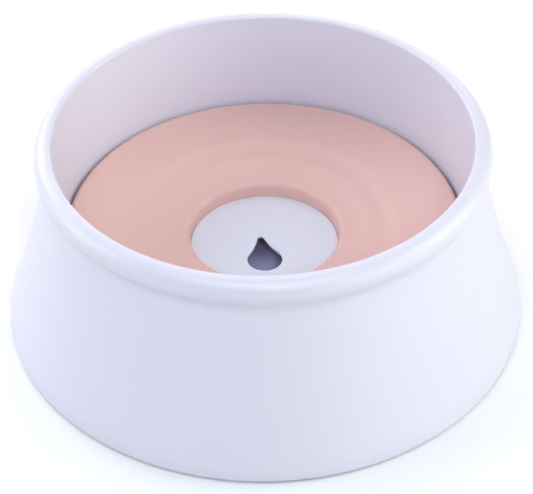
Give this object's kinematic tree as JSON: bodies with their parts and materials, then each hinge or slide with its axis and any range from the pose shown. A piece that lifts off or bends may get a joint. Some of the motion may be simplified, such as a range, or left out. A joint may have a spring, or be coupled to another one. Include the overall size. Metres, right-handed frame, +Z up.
{
  "type": "no spill dog water bowl",
  "caption": "Flared double-walled pet water bowl with a hollow dished float that slides up and down inside it and lets water up through a drop-shaped outlet.",
  "frame": {"origin": "on the table under the bowl's centre, at the level of the pads' lower faces", "axes": "+Z up along the bowl's axis; -Y towards the viewer, the round end of the outlet's drop"},
  "size_m": [0.23, 0.23, 0.0934],
  "materials": {
    "white_shell": "moulded gloss, faintly lilac white",
    "white_pan": "moulded satin, faintly lilac white",
    "white_plate": "moulded gloss, faintly lilac white",
    "pink_deck": "moulded fine satin, pale pink",
    "pad": "soft moulded rubber",
    "seal": "soft moulded rubber"
  },
  "bodies": {
    "bowl": {"bowl": "white_shell", "pad_1": "pad", "pad_2": "pad", "pad_3": "pad", "pad_4": "pad"},
    "float": {"float_deck": "pink_deck", "float_pan": "white_pan", "outer_seal": "seal", "inner_seal": "seal", "centre_plate": "white_plate"}
  },
  "joints": [
    {"name": "float_slide", "type": "slide", "parent": "bowl", "child": "float", "axis": [0, 0, 1], "range_m": [0, 0.082]}
  ]
}
